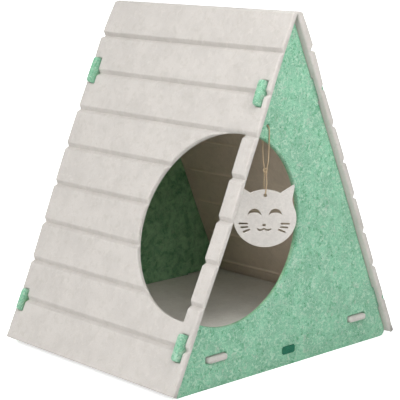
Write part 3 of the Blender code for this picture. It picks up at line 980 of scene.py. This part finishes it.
# ---- patch -----------------------------------------------------------------------
class CAVE_OT_patch(bpy.types.Operator):
    """Make the plain patch on the front gable"""
    bl_idname = "cave.patch"
    bl_label = "Patch"

    def execute(self, context):
        loops = [split_long(rounded_box(PATCH_X, PATCH_Z, *PATCH_SIZE, PATCH_ROUND), FINE_STEP)]
        columns = PATCH_X + np.arange(*PATCH_COLUMNS)
        rows = PATCH_Z + np.arange(*PATCH_ROWS)
        y = FRONT_GABLE_Y - sizes().felt / 2 - PLAY - PATCH_THICK / 2
        patch = felt_piece("plain_patch", loops, columns, rows, upright(y, PATCH_THICK, -1),
                           patch_cloth(), PATCH_THICK, *PATCH_EDGES)
        dress(patch, "label_patch")
        return {"FINISHED"}


# ---- materials -------------------------------------------------------------------
class Nodes:
    """Short calls for building a material's node tree."""

    def __init__(self, name):
        self.material = bpy.data.materials.new(name)
        self.material.use_nodes = True
        self.tree = self.material.node_tree
        self.shader = self.tree.nodes["Principled BSDF"]
        self.place = self.add("ShaderNodeTexCoord").outputs["Object"]

    def add(self, kind, **values):
        """A node with its settings."""
        node = self.tree.nodes.new(kind)
        for key, value in values.items():
            setattr(node, key, value)
        return node

    def link(self, source, target):
        """Joins an output, or sets a value, on an input."""
        if isinstance(source, bpy.types.NodeSocket):
            self.tree.links.new(source, target)
        else:
            target.default_value = source

    def fill(self, node, **inputs):
        """Joins or sets a node's inputs by their names, with _ for a space."""
        for key, source in inputs.items():
            self.link(source, node.inputs[key.replace("_", " ")])
        return node

    def math(self, operation, a, b=0.0, kind="Math", **values):
        """Arithmetic, with kind VectorMath on every part of a vector or colour."""
        node = self.add("ShaderNode" + kind, operation=operation, **values)
        self.link(a, node.inputs[0])
        self.link(b, node.inputs[1])
        return node.outputs[0]

    def noise(self, scale, detail=2.0, rough=0.5, distortion=0.0, shift=0.0):
        """Noise from 0 to 1; scale is in lumps for each metre, shift moves it aside."""
        where = self.math("ADD", self.place, (shift, shift * 1.7, shift * 0.6), "VectorMath")
        node = self.add("ShaderNodeTexNoise", noise_dimensions="3D")
        self.fill(node, Vector=where, Scale=scale, Detail=detail, Roughness=rough, Distortion=distortion)
        return node.outputs["Fac"]

    def ramp(self, value, low, high):
        """0 below low, 1 above high, smooth between."""
        node = self.add("ShaderNodeMapRange", interpolation_type="SMOOTHSTEP")
        return self.fill(node, Value=value, From_Min=low, From_Max=high).outputs["Result"]

    def clouds(self, low, high, *noise):
        """Soft patches: a noise that is 0 below low and 1 above high."""
        return self.ramp(self.noise(*noise), low, high)

    def hairs(self, scale, width, shift=0.0, distortion=3.0):
        """Thin curled lines: where a bent noise is within width of its middle."""
        middle = self.math("SUBTRACT", self.noise(scale, 1.0, 0.4, distortion, shift), 0.5)
        return self.ramp(self.math("ABSOLUTE", middle), width, 0.0)

    def attribute(self, name):
        """A mesh attribute's value."""
        return self.add("ShaderNodeAttribute", attribute_name=name).outputs["Fac"]

    def mix(self, factor, *pair):
        """Blends two colours."""
        a, b = (each if isinstance(each, bpy.types.NodeSocket) else (*each, 1.0) for each in pair)
        node = self.add("ShaderNodeMix", data_type="RGBA")
        return self.fill(node, Factor=factor, A=a, B=b).outputs["Result"]

    def layers(self, body, *rows):
        """Lays colours over the body, in columns: where, what share, the colour."""
        for where, share, colour in rows:
            body = self.mix(self.math("MULTIPLY", where, share), body, colour)
        return body

    def tint(self, where, body, tint):
        """Multiplies the colour by the tint where it says 1."""
        return self.math("MULTIPLY", body, self.mix(where, (1.0, 1.0, 1.0), tint), "VectorMath")

    def bump(self, height, distance, strength=1.0):
        """Relief; distance is what a height of 1 stands for, in metres."""
        node = self.fill(self.add("ShaderNodeBump"), Strength=strength, Distance=distance, Height=height)
        self.link(node.outputs["Normal"], self.shader.inputs["Normal"])

    def felt_relief(self, fine, coarse, distance):
        """Matted fibres: fine hairs over small lumps."""
        lumps = self.noise(coarse, 3.0, 0.6, 0.6, 4.0)
        hairs = self.math("ADD", self.hairs(fine, 0.07, 1.3), self.hairs(fine * 1.6, 0.08, 2.9))
        height = self.math("ADD", self.math("MULTIPLY", lumps, 1.1), self.math("MULTIPLY", hairs, 0.35))
        self.bump(height, distance, 0.8)

    def surface(self, colour, roughness, sheen=0.0):
        """Sets the shader's own sockets and gives the finished material."""
        self.fill(self.shader, Base_Color=colour, Roughness=roughness, Sheen_Weight=sheen,
                  Sheen_Roughness=0.5, Specular_IOR_Level=0.25)
        return self.material


def scaled(colour, factor):
    """A colour made lighter or darker."""
    return tuple(min(1.0, c * factor) for c in colour)


def off_white_felt(name, inside):
    """Needled felt: off-white with faint darker, warmer and paler fibres; the grooves darker, partly as
    pressed felt and partly as painted shade; a painted highlight along the inner ribs; painted light and
    shade on the faces inside the house.
    """
    n = Nodes(name)
    main, fleck = colours("off_white", "off_white_fleck")
    body = n.mix(n.clouds(0.35, 0.65, 30, 2.0, 0.5, 0.3), scaled(main, 0.95), scaled(main, 1.02))
    body = n.layers(
        body,
        (n.clouds(0.48, 0.70, 110, 3.0, 0.6, 0.8, 1.0), 0.40, fleck),
        (n.clouds(0.52, 0.72, 130, 3.0, 0.6, 1.0, 3.0), 0.60, scaled(main, 1.09)),
        (n.hairs(240, 0.035, 5.0), 0.45, (fleck[0] * 1.05, fleck[1] * 0.93, fleck[2] * 0.88)),
        # Darker in the grooves: partly the denser pressed felt, partly painted shade.
        (n.math("MULTIPLY", n.attribute("pressed"), 70.0, use_clamp=True), 0.25, scaled(fleck, 0.95)),
        # Lighter along the ribs on the inner face: a painted highlight.
        (n.math("MULTIPLY", n.attribute("raised"), 500.0, use_clamp=True), 1.0, scaled(main, 1.30)),
    )
    # The tint below leaves out a band along the cut edges. On the floor that band stays darker than the
    # lightened middle: a painted shade along the walls.
    off_edges = n.math("SUBTRACT", 1.0, n.attribute("edge"))
    # Painted light and shade on the faces inside the house: the inside tint makes the roof's inner faces
    # warmer and the floor lighter.
    body = n.tint(n.math("MULTIPLY", n.attribute("indoors"), off_edges), body, inside)
    n.felt_relief(700, 420, 0.0004)
    return n.surface(body, 0.95, 0.12)


def green_felt():
    """Needled felt: mint green, heathered with deeper and paler fibres, and darker inside the house with
    painted shade.
    """
    n = Nodes("needled_green")
    main, deep, pale = colours("green", "green_fleck", "green_pale")
    inside_shade_mask = n.attribute("indoors")
    gathered = n.clouds(0.25, 0.65, 60, 2.0, 0.5, 0.6, 5.0)
    # Painted shade for the faces inside the house: a much darker green with pale patches, laid over the
    # felt there.
    painted_inside_shade = n.mix(n.clouds(0.28, 0.70, 75, 4.0, 0.7, 0.6, 7.0), scaled(main, 0.42), scaled(pale, 1.20))
    body = n.mix(n.clouds(0.35, 0.65, 45, 2.0, 0.5, 0.5), scaled(main, 0.88), scaled(main, 1.08))
    body = n.layers(
        body,
        (n.clouds(0.48, 0.64, 130, 3.0, 0.65, 1.2, 1.0), gathered, deep),
        (n.clouds(0.50, 0.66, 140, 3.0, 0.65, 1.4, 2.2), 0.80, pale),
        (n.hairs(120, 0.05, 3.1, 5.0), 0.60, scaled(deep, 0.9)),
        (n.hairs(140, 0.05, 6.4, 5.0), 0.60, scaled(pale, 1.12)),
        (n.clouds(0.58, 0.72, 130, 2.0, 0.5, 1.4, 8.0), 0.35, (0.54, 0.54, 0.49)),
        (n.clouds(0.70, 0.76, 330, 1.0, 0.5, 0.5, 9.0), 0.80, scaled(deep, 0.5)),
        (inside_shade_mask, 0.55, painted_inside_shade),
    )
    n.felt_relief(700, 420, 0.0004)
    # The inside tint darkens those faces further: painted shade.
    return n.surface(n.tint(inside_shade_mask, body, GREEN_INSIDE_PAINTED_SHADE), 0.95, 0.10)


def tag_felt():
    """Thin, hard-pressed off-white felt."""
    n = Nodes("pressed_off_white")
    main, fleck = colours("off_white", "off_white_fleck")
    main = scaled(main, 0.93)
    body = n.mix(n.clouds(0.35, 0.65, 250, 3.0, 0.6, 0.8), scaled(main, 0.93), scaled(main, 1.03))
    body = n.layers(
        body,
        (n.hairs(400, 0.06, 3.0), 0.25, fleck),
        (n.attribute("edge"), 0.35, scaled(main, 1.15)),
    )
    n.felt_relief(1100, 800, 0.0002)
    return n.surface(body, 0.92, 0.08)


def jute_twine():
    """Jute: straw-brown fibres that follow the twist."""
    n = Nodes("two_ply_jute")
    jute = colours("jute")[0]
    wound = n.math("MULTIPLY", n.attribute("twist"), 2.0)
    strands = n.math("SINE", n.math("ADD", wound, n.math("MULTIPLY", n.attribute("around"), 9.0)))
    body = n.mix(n.ramp(strands, -1.0, 1.0), scaled(jute, 0.72), scaled(jute, 1.15))
    body = n.mix(n.clouds(0.35, 0.7, 1400), scaled(jute, 0.8), body)
    n.bump(n.math("ADD", strands, n.noise(2500)), 0.00006)
    return n.surface(body, 0.85, 0.05)


def patch_cloth():
    """Plain dark green cloth with a fine even weave."""
    n = Nodes("woven_green")
    patch = colours("patch")[0]
    body = n.mix(n.clouds(0.3, 0.7, 900), scaled(patch, 0.8), scaled(patch, 1.3))
    threads = [n.fill(n.add("ShaderNodeTexWave", bands_direction=axis), Scale=700.0, Vector=n.place)
               for axis in "XZ"]
    n.bump(n.math("MULTIPLY", *(node.outputs["Fac"] for node in threads)), 0.0001)
    return n.surface(body, 0.75)


# ---- stage -----------------------------------------------------------------------
def aim(place, yaw, pitch, roll):
    """A camera's matrix from its place, yaw from +Y towards +X, pitch and roll."""
    ahead = np.array((sin(yaw) * cos(pitch), cos(yaw) * cos(pitch), sin(pitch)))
    right = np.array((cos(yaw), -sin(yaw), 0.0))
    turned = right * cos(roll) + np.cross(right, ahead) * sin(roll)
    matrix = np.eye(4)
    matrix[:3] = np.column_stack((turned, np.cross(turned, ahead), -ahead, place))
    return Matrix(matrix.tolist())


def add_light(name, kind, place, energy, width):
    """A lamp at a place, turned to the middle of the house."""
    lamp = bpy.data.lights.new(name, kind)
    lamp.energy = energy
    if kind == "AREA":
        lamp.size = width
    else:
        lamp.angle = radians(width)
    away = np.subtract(LIT_POINT, place)
    thing = bpy.data.objects.new(name, lamp)
    thing.matrix_world = aim(place, atan2(away[0], away[1]), atan2(away[2], hypot(away[0], away[1])), 0.0)
    bpy.context.scene.collection.objects.link(thing)


def add_paper(name, height, glow):
    """A wide level sheet of pale matt paper; glow is the light it gives of its own, as on
    a light table."""
    n = Nodes(name)
    n.fill(n.shader, Emission_Color=(1.0, 1.0, 1.0, 1.0), Emission_Strength=glow)
    paint = n.surface((*colours("ground")[0], 1.0), 0.9)
    sides = ((-1, -1), (1, -1), (1, 1), (-1, 1))
    corners = np.array([(x * PAPER_REACH, y * PAPER_REACH, height) for x, y in sides])
    paper = new_piece(name, corners, [[0, 1, 2, 3]], paint)
    return paper


def room_light():
    """A room that is white to look at and gives the pieces a little light from all round."""
    world = bpy.data.worlds.new("studio")
    world.use_nodes = True
    tree = world.node_tree
    seen = tree.nodes["Background"]
    seen.inputs["Color"].default_value = (1.0, 1.0, 1.0, 1.0)
    given = tree.nodes.new("ShaderNodeBackground")
    given.inputs["Strength"].default_value = ROOM_LIGHT
    mix = tree.nodes.new("ShaderNodeMixShader")
    camera_ray = tree.nodes.new("ShaderNodeLightPath").outputs["Is Camera Ray"]
    for source, target in zip((camera_ray, given.outputs[0], seen.outputs[0]), mix.inputs):
        tree.links.new(source, target)
    tree.links.new(mix.outputs[0], tree.nodes["World Output"].inputs["Surface"])
    bpy.context.scene.world = world


class CAVE_OT_stage(bpy.types.Operator):
    """Set the pale floor, the soft studio light and the camera"""
    bl_idname = "cave.stage"
    bl_label = "Stage"

    def execute(self, context):
        # One sheet of paper is what the camera sees, and the one under it is what throws
        # light back on the felt, so the floor looks white and the inside stays dark.
        shown = add_paper("studio_floor", 0.0, PAPER_GLOW)
        shown.visible_diffuse = shown.visible_glossy = shown.visible_shadow = False
        add_paper("studio_bounce", -PAPER_GAP, 0.0).visible_camera = False

        scene = context.scene
        scene.view_settings.view_transform = "Standard"
        room_light()
        for row in LIGHTS:
            add_light(*row)

        camera = bpy.data.cameras.new("photo_view")
        camera.lens = CAMERA_LENS
        camera.clip_start = 0.05
        camera.clip_end = 60.0
        view = bpy.data.objects.new("photo_view", camera)
        view.matrix_world = aim(CAMERA_PLACE, CAMERA_YAW, CAMERA_PITCH, CAMERA_ROLL)
        scene.collection.objects.link(view)
        scene.camera = view
        return {"FINISHED"}


class CAVE_PT_panel(bpy.types.Panel):
    """The cat cave's sizes, colours and pieces"""
    bl_idname = "CAVE_PT_panel"
    bl_label = "Felt cat cave"
    bl_space_type = "VIEW_3D"
    bl_region_type = "UI"
    bl_category = "Cat Cave"

    def draw(self, context):
        for group in (context.scene.cave_sizes, context.scene.cave_colours):
            box = self.layout.box()
            for key in group.__annotations__:
                box.prop(group, key)
        for operator in OPERATORS:
            self.layout.operator(operator.bl_idname)


OPERATORS = (CAVE_OT_stage, CAVE_OT_twine, CAVE_OT_roof, CAVE_OT_gables, CAVE_OT_floor_panel,
             CAVE_OT_cat_tag, CAVE_OT_patch)
CLASSES = (CaveSizes, CaveColours, *OPERATORS, CAVE_PT_panel)


def register():
    """Adds the classes and hangs the sizes and colours on the scene."""
    for each in CLASSES:
        bpy.utils.register_class(each)
    bpy.types.Scene.cave_sizes = PointerProperty(type=CaveSizes)
    bpy.types.Scene.cave_colours = PointerProperty(type=CaveColours)


def unregister():
    """Takes them away again."""
    del bpy.types.Scene.cave_sizes
    del bpy.types.Scene.cave_colours
    for each in reversed(CLASSES):
        bpy.utils.unregister_class(each)


def main():
    """Registers the add-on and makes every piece."""
    register()
    bpy.ops.cave.stage()
    bpy.ops.cave.twine()
    bpy.ops.cave.roof()
    bpy.ops.cave.gables()
    bpy.ops.cave.floor_panel()
    bpy.ops.cave.cat_tag()
    bpy.ops.cave.patch()
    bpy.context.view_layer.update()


if __name__ == "__main__":
    main()
